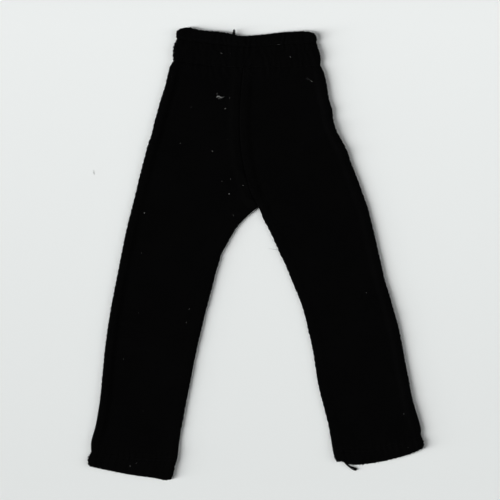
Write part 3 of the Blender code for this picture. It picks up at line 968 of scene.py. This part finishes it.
def end_waves(at, waves, seed):
    """How far a strip's near and far ends stray inwards, from the spacing and raggedness of each."""
    (near_spacing, near_ragged), (far_spacing, far_ragged) = waves
    near = edge_wave(at["down"], near_spacing, seed + 1, near_ragged)
    return near, edge_wave(at["down"], far_spacing, seed + 2, far_ragged)


def strip(layer, lines, form, columns, heights, waves, relief):
    """A short piece round the waist or a leg end, from its near, far, top and bottom lines."""
    near, far, top, bottom = (smooth_line(line) for line in lines)
    length = (run_of(near)[-1] + run_of(far)[-1]) / 2
    return {
        **form,
        "layer": layer,
        "near_edge": lambda share: points_at(near, share),
        "far_edge": lambda share: points_at(far, share),
        "top_edge": lambda share: points_at(top, share),
        "bottom_edge": lambda share: points_at(bottom, share),
        "length": length,
        "columns": columns[layer],
        "curl": lambda down: np.ones_like(down),
        "far_sink": 0.0,
        "heights": heights,
        "waves": waves,
        "relief": relief,
    }


# %% [markdown]
# ### Waistband
#
# A band of doubled jersey, 12 to 13 mm high, joins the legs to the casing. It is thinner where it
# is stitched and fuller mid-way. The gathers above and below run into it, and each fades over it.

# %% Waistband
CASING_SEAM = ((-46.2, 125.5), (-26.6, 123.0), (-6.6, 121.1), (14.2, 122.3), (35.1, 123.5))
BAND_ENDS = {
    "right": ((-46.2, 125.5), (-47.8, 121.9), (-48.5, 116.3), (-48.3, 112.6)),
    "left": ((35.1, 123.5), (36.2, 119.9), (37.5, 115.5), (37.5, 110.1)),
}
BAND = {
    "rows": 20, "cloth": 1.4, "roll": 1.8, "under": 45, "top": "sunk", "bottom": "sunk",
    "top_sink": 0.5, "bottom_sink": 0.55,
}
BAND_BULGE = 0.5
STITCHED_HEIGHT = 3.9
BAND_RIPPLE = 0.26
BAND_LUMP, BAND_LUMP_WIDTH = 0.5, 5.0
# Spacing and raggedness of the waves at the near and the far end.
BAND_WAVES = ((2.1, 1.4), (2.6, 1.0))
CASING_SPACING = 3.3
STRIP_COLUMNS = {"front": 150, "back": 90}
RIPPLE_SHARE = {"front": 1.0, "back": 0.4}


def waistband(layer):
    def heights(at):
        height = STITCHED_HEIGHT + (BAND_HEIGHT - STITCHED_HEIGHT) * at["share"]
        height = height + BAND_BULGE * np.sin(np.pi * np.clip(at["share"], 0, 1))
        return height, height - STRIP_SLACK

    def waves(at):
        near, far = end_waves(at, BAND_WAVES, SEEDS["waist"])
        return near, far, np.zeros_like(near)

    def relief(at):
        to_casing = fade(at["share"], 1)
        lift = gathers(at["plan"], GATHER_SPACING, SEEDS["waist"]) * (1 - to_casing)
        lift = lift + gathers(at["plan"], CASING_SPACING, SEEDS["casing"]) * to_casing
        lift = lift + BAND_LUMP * lumps(at["plan"], BAND_LUMP_WIDTH, SEEDS["waist"])
        return BAND_RIPPLE * lift * RIPPLE_SHARE[layer]

    lines = (BAND_ENDS["right"], BAND_ENDS["left"], CASING_SEAM, WAIST_SEAM)
    return strip(layer, lines, BAND, STRIP_COLUMNS, heights, waves, relief)


for layer in ("back", "front"):
    shells[f"waistband_{layer}"] = cloth_wall(f"band_{layer}", waistband(layer), band_jersey)

# %% [markdown]
# ### Elastic casing
#
# At the top the cloth is folded over a narrow elastic and stitched down. The top edge is a fold, so
# it is turned, and this is the thickest place of the garment. The elastic draws it into ripples.

# %% Casing
WAIST_TOP = (
    (-44.1, 131.3), (-40.5, 132.0), (-32.4, 130.5), (-19.5, 129.3), (-6.7, 127.0), (-0.2, 127.5),
    (6.2, 128.1), (13.7, 129.1), (20.2, 129.5), (29.6, 129.7), (33.2, 129.0),
)
CASING_ENDS = {
    "right": ((-44.1, 131.3), (-46.1, 130.0), (-46.6, 127.9), (-46.2, 125.5)),
    "left": ((33.2, 129.0), (34.6, 127.6), (35.3, 125.9), (35.1, 123.5)),
}
CASING = {
    "rows": 9, "cloth": 1.7, "roll": 2.1, "under": 50, "top": "turned", "bottom": "sunk",
    "top_sink": 0.0, "bottom_sink": 0.5,
}
CASING_HEIGHT = 4.8
CASING_RIPPLE = 0.24
CASING_LUMP, CASING_LUMP_WIDTH = 0.4, 4.0
CASING_WAVES = ((2.0, 1.0), (2.3, 1.0))


def casing(layer):
    def heights(at):
        height = CASING_HEIGHT + (STITCHED_HEIGHT - CASING_HEIGHT) * at["share"] ** 2
        return height, height - STRIP_SLACK

    def waves(at):
        near, far = end_waves(at, CASING_WAVES, SEEDS["casing"])
        top = edge_wave(at["near"], CASING_SPACING, SEEDS["casing"] + 3)
        return near, far, top * fade(at["down"], WAVE_REACH)

    def relief(at):
        lift = gathers(at["plan"], CASING_SPACING, SEEDS["casing"])
        lift = lift + CASING_LUMP * lumps(at["plan"], CASING_LUMP_WIDTH, SEEDS["casing"])
        return CASING_RIPPLE * lift * RIPPLE_SHARE[layer]

    lines = (CASING_ENDS["right"], CASING_ENDS["left"], WAIST_TOP, CASING_SEAM)
    return strip(layer, lines, CASING, STRIP_COLUMNS, heights, waves, relief)


for layer in ("back", "front"):
    shells[f"casing_{layer}"] = cloth_wall(f"casing_roll_{layer}", casing(layer), casing_jersey)

# %% [markdown]
# ### Turned-up hems
#
# The end of each leg is turned up and sewn, so it is folded double, and its lower edge is a fold.
# The left hem is about 9 mm high, and the right one grows from 9 mm outside to 13 mm inside. The
# sewn row presses a groove into them. The wearer's right hem is most ragged at its outer end, and
# the left one at its fold.

# %% Hems
HEM_OUTER_END = {
    "right": (
        (-96.3, -114.9), (-96.3, -115.9), (-97.4, -117.7), (-98.1, -121.4), (-97.4, -123.8),
    ),
    "left": ((96.2, -104.7), (96.3, -106.0), (97.3, -108.4), (97.9, -110.9), (97.4, -113.3)),
}
HEM_INNER_END = {
    "right": (
        (-45.9, -119.1), (-46.8, -121.8), (-47.8, -125.3), (-48.3, -128.2), (-49.8, -131.6),
    ),
    "left": ((44.5, -113.1), (45.2, -116.0), (46.1, -119.3), (47.2, -121.3)),
}
HEM_FOLD = {
    "right": (
        (-97.4, -123.8), (-84.9, -126.6), (-70.9, -129.2), (-57.4, -131.1), (-52.8, -132.0),
        (-49.8, -131.6),
    ),
    "left": (
        (97.4, -113.3), (91.2, -116.2), (77.3, -120.2), (65.7, -122.4), (56.4, -123.0),
        (52.6, -122.2), (50.4, -121.3), (47.2, -121.3),
    ),
}
HEM = {
    "rows": 16, "cloth": 1.5, "roll": 1.8, "under": 50, "top": "sunk", "bottom": "turned",
    "top_sink": 0.3, "bottom_sink": 0.0,
}
HEM_ROW_DOWN = 1.5
HEM_ROW_GROOVE = 0.26
HEM_ROW_WIDTH = 0.7
HEM_WAVES = {"right": ((2.4, 2.5), (2.4, 1.0)), "left": ((2.4, 1.0), (2.4, 1.0))}
HEM_FOLD_WAVE = {"right": (2.3, 0.8), "left": (2.3, 1.4)}
HEM_LUMP, HEM_LUMP_WIDTH = 0.08, 5.0
HEM_SAG, HEM_SAG_SPACING = 0.14, 5.0
HEM_COLUMNS = {"front": 88, "back": 60}


def hem(side, layer):
    def heights(at):
        height = np.full_like(at["near"], HEM_HEIGHT)
        return height, height - STRIP_SLACK

    def waves(at):
        near, far = end_waves(at, HEM_WAVES[side], SEEDS["hem"])
        spacing, ragged = HEM_FOLD_WAVE[side]
        fold = edge_wave(at["near"], spacing, SEEDS["hem"] + 3, ragged)
        return near, far, -fold * fade(at["up"], WAVE_REACH)

    def relief(at):
        row = HEM_ROW_GROOVE * np.exp(-(((at["down"] - HEM_ROW_DOWN) / HEM_ROW_WIDTH) ** 2))
        lift = puckers(at["near"], np.abs(at["down"] - HEM_ROW_DOWN), SEEDS["hem"])
        sag = uneven(at["near"], HEM_SAG_SPACING, SEEDS["hem"] + 3)
        lift = lift + HEM_SAG * sag * at["share"]
        if layer == "back":
            return row + BACK_SHARE * lift
        return lift - row + HEM_LUMP * lumps(at["plan"], HEM_LUMP_WIDTH, SEEDS["hem"])

    lines = (HEM_OUTER_END[side], HEM_INNER_END[side], HEM_LINE[side], HEM_FOLD[side])
    return strip(layer, lines, HEM, HEM_COLUMNS, heights, waves, relief)


for layer in ("back", "front"):
    for side in ("right", "left"):
        name = f"turned_hem_{side}_{layer}"
        shells[f"hem_{side}_{layer}"] = cloth_wall(name, hem(side, layer), hem_jersey[side])

# %% [markdown]
# ## Thread
#
# The sewing thread is black polyester, smoother than the jersey. It is two yarns twisted together,
# which a slanting stripe of bump gives. The same stripe paints shade into the colour between the
# two yarns. The same thread makes the stitches and the loose ends.

# %% Thread material
TWIST = 0.34
TWIST_TURN = 50.0
TWIST_RELIEF = 0.05
TWIST_FIBRE = 0.08
LEAST_FIBRE = 0.5
# From the painted shade between the two yarns to the thread's own black.
THREAD_PAINTED_SHADE_AND_BLACK = ((0.0003, 0.0003, 0.0003), (0.0016, 0.0016, 0.0018))


def twisted_thread(name):
    material, tree, shader, here = new_material(name, roughness=0.6, specular=0.04)
    x = turned_axes(tree, here, TWIST_TURN)[0]
    ply = hump(tree, maths(tree, "FRACT", maths(tree, "DIVIDE", x, TWIST * MM)))
    fibre = maths(tree, "ADD", noise(tree, here, TWIST_FIBRE), LEAST_FIBRE)
    strands = maths(tree, "MULTIPLY", ply, fibre)
    # The twist's stripe also sets the colour: painted shade between the two yarns.
    tree.links.new(ramp(tree, strands, *THREAD_PAINTED_SHADE_AND_BLACK), shader.inputs["Base Color"])
    raised(tree, shader, strands, TWIST_RELIEF)
    return material


stitch_thread = twisted_thread("stitch_thread")

# %% [markdown]
# ## Stitches
#
# A stitch on the surface is a short length of thread that dives into the cloth at both ends, like a
# grain of rice pressed in. One grain is modelled from a sphere, and a copy of it is set at each
# step along the sewing line, turned to the line and at the height of the cloth there. A ray shot
# at the shell finds that height.

# %% One stitch
STITCH_SIZE = (1.9, 0.34, 0.30)

deselect_all()
bpy.ops.mesh.primitive_uv_sphere_add(segments=8, ring_count=6, radius=0.5)
grain = bpy.context.object
edit_all(grain)
bpy.ops.transform.rotate(value=np.pi / 2, orient_axis="Y", center_override=(0, 0, 0))
bpy.ops.transform.resize(value=[size * MM for size in STITCH_SIZE])
leave_edit()
bpy.ops.object.shade_smooth()
print("one stitch has", len(grain.data.polygons), "faces")

# %% Sewing helpers
STITCH_PITCH = 2.2
LOOK_AHEAD = 0.5
SCATTER = 0.06
TURN_SCATTER = 0.06
RAY_HEIGHT = 20.0


def surface_of(shell):
    return BVHTree.FromObject(shell, bpy.context.evaluated_depsgraph_get())


def height_on(surface, x, y, layer="front"):
    """Height of the cloth's outer side at this place, in mm, or None beside it."""
    way = -1 if layer == "front" else 1
    start = Vector((x, y, -way * RAY_HEIGHT)) * MM
    hit = surface.ray_cast(start, Vector((0, 0, way)))[0]
    return None if hit is None else hit.z / MM


def joined_row(name, row, material):
    """Joins the objects to one mesh, in place at the origin."""
    deselect_all()
    for thing in row:
        thing.select_set(True)
    bpy.context.view_layer.objects.active = row[0]
    bpy.ops.object.join()
    bpy.ops.object.transform_apply(location=True, rotation=True, scale=True)
    whole = bpy.context.object
    whole.name = name
    whole.data.materials.append(material)
    print(f"{name}: {len(row)} stitches")
    return whole


def stitch_row(name, line, shell, layer, seed):
    """Stitches along a line, set into the outer side of the shell."""
    draw = np.random.default_rng(seed)
    surface = surface_of(shell)
    length = run_of(line)[-1]
    row = []
    for place in np.arange(STITCH_PITCH, length - STITCH_PITCH / 2, STITCH_PITCH):
        (x, y), ahead = points_at(line, np.array([place, place + LOOK_AHEAD]) / length)
        height = height_on(surface, x, y, layer)
        if height is None:
            continue
        height = max(height, STITCH_SIZE[2] / 2)
        stitch = grain.copy()
        stitch.data = grain.data.copy()
        bpy.context.collection.objects.link(stitch)
        x, y = (x, y) + SCATTER * draw.uniform(-1, 1, 2)
        stitch.location = (x * MM, y * MM, height * MM)
        heading = np.arctan2(*(ahead - (x, y))[::-1])
        stitch.rotation_euler.z = heading + draw.uniform(-TURN_SCATTER, TURN_SCATTER)
        row.append(stitch)
    return joined_row(name, row, stitch_thread)


# %% Stitch rows
STITCHES_BELOW_CASING = 1.1

stitches = {}
for layer in ("back", "front"):
    for number, side in enumerate(("right", "left")):
        into_hem = -HEM_ROW_DOWN if side == "right" else HEM_ROW_DOWN
        line = shifted(smooth_line(HEM_LINE[side]), into_hem)
        shell = shells[f"hem_{side}_{layer}"]
        name = f"stitches_hem_{side}_{layer}"
        stitches[f"hem_{side}_{layer}"] = stitch_row(
            name, line, shell, layer, SEEDS["hem stitches"] + number
        )
    line = shifted(smooth_line(CASING_SEAM), STITCHES_BELOW_CASING)
    shell = shells[f"casing_{layer}"]
    name = f"stitches_casing_{layer}"
    stitches[f"casing_{layer}"] = stitch_row(name, line, shell, layer, SEEDS["casing stitches"])
bpy.data.objects.remove(grain)

# %% [markdown]
# ## Loose fibres
#
# Thread ends, fuzz and lint are all thin fibres, so one helper makes them: a curve object with a
# spline for each fibre, which thins towards its end, and is then converted to one mesh. A curve's
# end caps are loose, so doubles are merged.

# %% Fibres
WELD = 0.001


def fibres(name, strands, material):
    """One mesh of thin fibres. Each strand has points and the thickness at each, in mm."""
    curve = bpy.data.curves.new(name, "CURVE")
    curve.dimensions = "3D"
    curve.bevel_depth = MM / 2
    curve.bevel_resolution = 0
    curve.use_fill_caps = True
    for points, thickness in strands:
        spline = curve.splines.new("POLY")
        spline.points.add(len(points) - 1)
        placed = np.column_stack([np.array(points) * MM, np.ones(len(points))])
        spline.points.foreach_set("co", placed.ravel())
        spline.points.foreach_set("radius", thickness)
    whole = bpy.data.objects.new(name, curve)
    bpy.context.collection.objects.link(whole)
    deselect_all()
    whole.select_set(True)
    bpy.context.view_layer.objects.active = whole
    bpy.ops.object.convert(target="MESH")
    whole = bpy.context.object
    edit_all(whole)
    bpy.ops.mesh.remove_doubles(threshold=WELD * MM)
    bpy.ops.mesh.normals_make_consistent(inside=False)
    leave_edit()
    bpy.ops.object.shade_smooth()
    whole.data.materials.append(material)
    print(f"{name}: {len(strands)} fibres, {len(whole.data.polygons)} faces")
    return whole


# %% [markdown]
# ### Thread ends
#
# Two tufts of sewing thread were left uncut: one stands over the top edge near the middle, and one
# lies beside the wearer's left hem. Each is a handful of strands that start together and spread.

# %% Thread ends
THREAD_TUFTS = (
    {
        "name": "thread_ends_waist",
        "route": ((-13.1, 127.0, 3.4), (-13.0, 128.5, 3.9), (-12.9, 129.5, 3.8), (-12.8, 130.5, 3.5)),
        "count": 26,
        "root": 0.75,
        "spread": 0.60,
        "thickness": 0.40,
    },
    {
        "name": "thread_ends_hem",
        "route": (
            (52.0, -121.6, 2.2), (53.5, -123.2, 1.6), (55.2, -124.4, 1.2), (57.0, -125.3, 1.0),
            (58.4, -126.1, 0.8),
        ),
        "count": 22,
        "root": 0.35,
        "spread": 0.72,
        "thickness": 0.42,
    },
)
TUFT_FLATNESS = (1.0, 1.0, 0.4)
TUFT_WANDER = 0.08
SHORTEST_STRAND = 0.8
TIP_THICKNESS = 0.8
TUFT_STEPS = 6


def thread_tuft(tuft, seed):
    """Strands that start close together, wander and spread, and end at uneven lengths."""
    draw = np.random.default_rng(seed)
    route = np.array(tuft["route"])
    share = np.linspace(0, 1, len(route))[:, None]
    strands = []
    for _ in range(tuft["count"]):
        start = tuft["root"] * draw.uniform(-1, 1, 3) * TUFT_FLATNESS
        end = tuft["spread"] * draw.uniform(-1, 1, 3) * TUFT_FLATNESS
        points = route + (1 - share) * start + share * end + draw.normal(0, TUFT_WANDER, route.shape)
        points[-1] = points[-2] + (points[-1] - points[-2]) * draw.uniform(SHORTEST_STRAND, 1.0)
        line = smooth_line(points)[:: CURVE_STEPS // TUFT_STEPS]
        line[:, 2] = np.maximum(line[:, 2], tuft["thickness"] / 2)
        strands.append((line, tuft["thickness"] * np.linspace(1, TIP_THICKNESS, len(line))))
    return fibres(tuft["name"], strands, stitch_thread)


tufts = [thread_tuft(tuft, SEEDS["tufts"] + number) for number, tuft in enumerate(THREAD_TUFTS)]

# %% [markdown]
# ### Fuzz along the edges
#
# Worn jersey is hairy, and against a pale floor its hairs show along the outline. They stand out
# from every edge, about one to a millimetre, and are densest at the wearer's right ankle and along
# the waistband's right end. One longer hair trails from the wearer's left inseam onto the floor, and
# a bit of fluff lies on the floor beside the wearer's right thigh.

# %% Where the fuzz is
# Line of an edge, whether out is to its left (1) or right (-1), and hairs to a millimetre.
FUZZ_EDGES = (
    (SIDE_ABOVE_CROTCH["right"], -1, 0.9),
    (SIDE_BELOW_CROTCH["right"], -1, 1.2),
    (HEM_OUTER_END["right"], -1, 3.5),
    (HEM_FOLD["right"], -1, 0.9),
    (HEM_INNER_END["right"], 1, 1.1),
    (INSEAM["right"], 1, 0.9),
    (SIDE_ABOVE_CROTCH["left"], 1, 0.9),
    (SIDE_BELOW_CROTCH["left"], 1, 0.9),
    (HEM_OUTER_END["left"], 1, 1.1),
    (HEM_FOLD["left"], 1, 1.0),
    (HEM_INNER_END["left"], -1, 1.3),
    (INSEAM["left"], -1, 1.0),
    (BAND_ENDS["right"], -1, 2.2),
    (BAND_ENDS["left"], 1, 1.3),
    (CASING_ENDS["right"], -1, 1.4),
    (CASING_ENDS["left"], 1, 1.3),
    (WAIST_TOP, 1, 0.8),
)
# Points and the thickness at each, of two single strands.
TRAILING_HAIR = (
    ((13.4, 2.5, 0.8), (10.8, 2.6, 0.2), (8.8, 2.9, 0.05), (7.3, 3.1, 0.05)),
    (0.07, 0.08, 0.08, 0.06),
)
FLOOR_FLUFF = (
    ((-95.0, 49.1, 0.05), (-94.8, 48.1, 0.08), (-94.8, 47.2, 0.1), (-94.6, 46.4, 0.05)),
    (0.06, 0.10, 0.22, 0.10),
)
print("fuzz along", len(FUZZ_EDGES), "edges, and two single strands")

# %% Edge fuzz
HAIR_THICKNESS = 0.075
HAIR_REACH = (0.2, 1.0)
HAIR_ROOT = 0.35
HAIR_SHARES = (0.0, 0.4, 0.75, 1.0)
HAIR_TAPER = (1.0, 0.85, 0.6, 0.3)
HAIR_HEIGHTS = (1.0, 2.6)
HAIR_LEAN = 0.55
HAIR_RISE = 0.35
LINE_END = 0.5
HEADING_STEP = 0.2


def edge_hairs(draw, line, outwards, per_mm):
    """Short bent hairs that stand out from one edge."""
    line = smooth_line(line)
    length = run_of(line)[-1]
    hairs = []
    for place in draw.uniform(LINE_END, length - LINE_END, int(length * per_mm)):
        root, ahead = points_at(line, np.array([place, place + HEADING_STEP]) / length)
        along = (ahead - root) / np.linalg.norm(ahead - root)
        out = outwards * np.array([-along[1], along[0]])
        reach = draw.uniform(*HAIR_REACH)
        lean, bend = draw.normal(0, HAIR_LEAN, 2)
        height, rise = draw.uniform(*HAIR_HEIGHTS), draw.normal(0, HAIR_RISE)
        points = []
        for share in HAIR_SHARES:
            forward = share * (reach + HAIR_ROOT) - HAIR_ROOT
            aside = reach * (lean * share + bend * share**2)
            x, y = root + forward * out + aside * along
            points.append((x, y, max(height + rise * reach * share, HAIR_THICKNESS)))
        hairs.append((points, HAIR_THICKNESS * np.array(HAIR_TAPER)))
    return hairs


draw = np.random.default_rng(SEEDS["fuzz"])
hairs = []
for edge in FUZZ_EDGES:
    hairs += edge_hairs(draw, *edge)
fuzz = fibres("edge_fuzz", [*hairs, TRAILING_HAIR], stitch_thread)
fibres("floor_fluff", [FLOOR_FLUFF], stitch_thread)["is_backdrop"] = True

# %% [markdown]
# ### Lint
#
# A few pale fibres and specks lie on the front: one bright curl below the waist, a speck with a
# hair-thin tail at the wearer's left hip, and many that hardly show. Black cloth makes even a
# 0.05 mm speck visible, so the sizes in the tables matter more than the shapes.

# %% Lint material
LINT_GREY = ((0.28, 0.28, 0.28), (0.76, 0.76, 0.74))
LINT_MOTTLE = 0.5

pale_lint, tree, shader, here = new_material("pale_lint", roughness=0.8, specular=0.2)
mottled = ramp(tree, noise(tree, here, LINT_MOTTLE), *LINT_GREY)
tree.links.new(mottled, shader.inputs["Base Color"])
print(pale_lint.name, "has", len(tree.nodes), "nodes")

# %% Where the lint is
# Route and thickness of each fibre.
LINT_FIBRES = (
    (
        (
            (-22.9, 91.3), (-22.6, 91.8), (-21.9, 92.1), (-21.2, 91.7), (-20.5, 91.3),
            (-19.7, 91.5),
        ),
        0.24,
    ),
    (((-22.6, 92.5), (-22.9, 93.3), (-22.7, 94.2)), 0.045),
    (((-22.4, 90.7), (-21.5, 90.8), (-20.6, 90.6)), 0.060),
    (((-19.8, 91.2), (-19.2, 91.6), (-18.6, 91.6)), 0.060),
    (((28.7, 103.6), (30.2, 102.3), (31.4, 101.5), (32.6, 100.6)), 0.018),
    (((12.3, 122.2), (13.6, 122.3), (14.8, 122.1)), 0.023),
)
# Place, length and thickness of each speck.
LINT_SPECKS = (
    ((32.5, 100.6), 0.55, 0.166),
    ((-20.2, 117.0), 0.60, 0.092),
    ((19.9, 114.9), 0.60, 0.108),
    ((-18.0, 84.7), 0.80, 0.153),
    ((-25.5, 60.0), 0.62, 0.259),
    ((-15.7, 35.2), 0.62, 0.200),
    ((-65.1, 23.9), 0.60, 0.230),
    ((-7.6, 40.0), 0.60, 0.091),
    ((-19.8, 42.6), 0.50, 0.078),
    ((-14.9, 43.7), 0.50, 0.087),
    ((-15.1, 116.8), 0.30, 0.107),
    ((-49.4, 103.8), 0.40, 0.040),
    ((-15.5, 91.1), 0.50, 0.053),
    ((-37.8, 85.7), 0.25, 0.072),
    ((-44.2, 64.6), 0.45, 0.069),
    ((-17.2, 66.8), 0.30, 0.040),
    ((-13.2, 22.6), 0.50, 0.120),
    ((-67.0, 0.5), 0.35, 0.073),
    ((-49.8, 5.1), 0.30, 0.040),
    ((64.3, -22.8), 0.30, 0.067),
    ((-39.1, -32.1), 0.40, 0.140),
    ((-68.6, -34.4), 0.20, 0.086),
    ((-40.8, -39.9), 0.40, 0.132),
    ((-77.5, -61.4), 0.40, 0.059),
    ((-65.9, -91.9), 0.30, 0.040),
    ((-73.5, -123.8), 0.50, 0.085),
    ((-69.7, -122.0), 0.55, 0.099),
    ((86.2, -93.5), 0.60, 0.068),
    ((88.7, -113.0), 0.30, 0.050),
)
print(len(LINT_FIBRES), "fibres and", len(LINT_SPECKS), "specks of lint")

# %% Lint
SPECK_POINTS = 5
SPECK_BEND = 0.5
FIBRE_STEPS = 4
BLUNT_ENDS = ((0.0, 0.2, 0.8, 1.0), (0.4, 1.0, 1.0, 0.4))


def speck_line(draw, place, length):
    """A short bent line through the place, in a random direction."""
    heading, bend = draw.uniform(0, 2 * np.pi), draw.normal(0, SPECK_BEND)
    share = np.linspace(-0.5, 0.5, SPECK_POINTS)
    turns = heading + 2 * bend * share
    steps = np.stack([np.cos(turns), np.sin(turns)], axis=1) * share[:, None]
    return np.array(place) + length * steps


def laid_on_front(line, thickness):
    """A strand laid on whichever front shell is under each of its points."""
    points = []
    for x, y in line:
        heights = [height_on(surface, x, y) for surface in front_surfaces]
        heights = [height for height in heights if height is not None]
        if heights:
            points.append((x, y, max(heights) + thickness / 2))
    return points, thickness * np.interp(np.linspace(0, 1, len(points)), *BLUNT_ENDS)


front_surfaces = [surface_of(shell) for name, shell in shells.items() if "front" in name]
draw = np.random.default_rng(SEEDS["lint"])
strands = []
for route, thickness in LINT_FIBRES:
    line = smooth_line(route)[:: CURVE_STEPS // FIBRE_STEPS]
    strands.append(laid_on_front(line, thickness))
for place, length, thickness in LINT_SPECKS:
    strands.append(laid_on_front(speck_line(draw, place, length), thickness))
lint = fibres("lint", [strand for strand in strands if len(strand[0]) > 1], pale_lint)

# %% [markdown]
# ## What each piece stands for
#
# Nothing here moves on its own, so everything rides on the one body. Each shell replaces its solid.

# %% Bodies and solids
for node, shell in shells.items():
    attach(shell, "root")
    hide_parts(node)
for node, row in stitches.items():
    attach(row, "root")
for tuft, slot in zip(tufts, ("casing_jersey", "hem_jersey")):
    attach(tuft, "root")
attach(fuzz, "root")
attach(lint, "root")

# %% Sizes
shown_box = [list(corner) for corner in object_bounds()]
low, high = (np.array(corner) / MM for corner in shown_box)
print("shown, the leggings measure", np.round(high - low, 1), "mm")
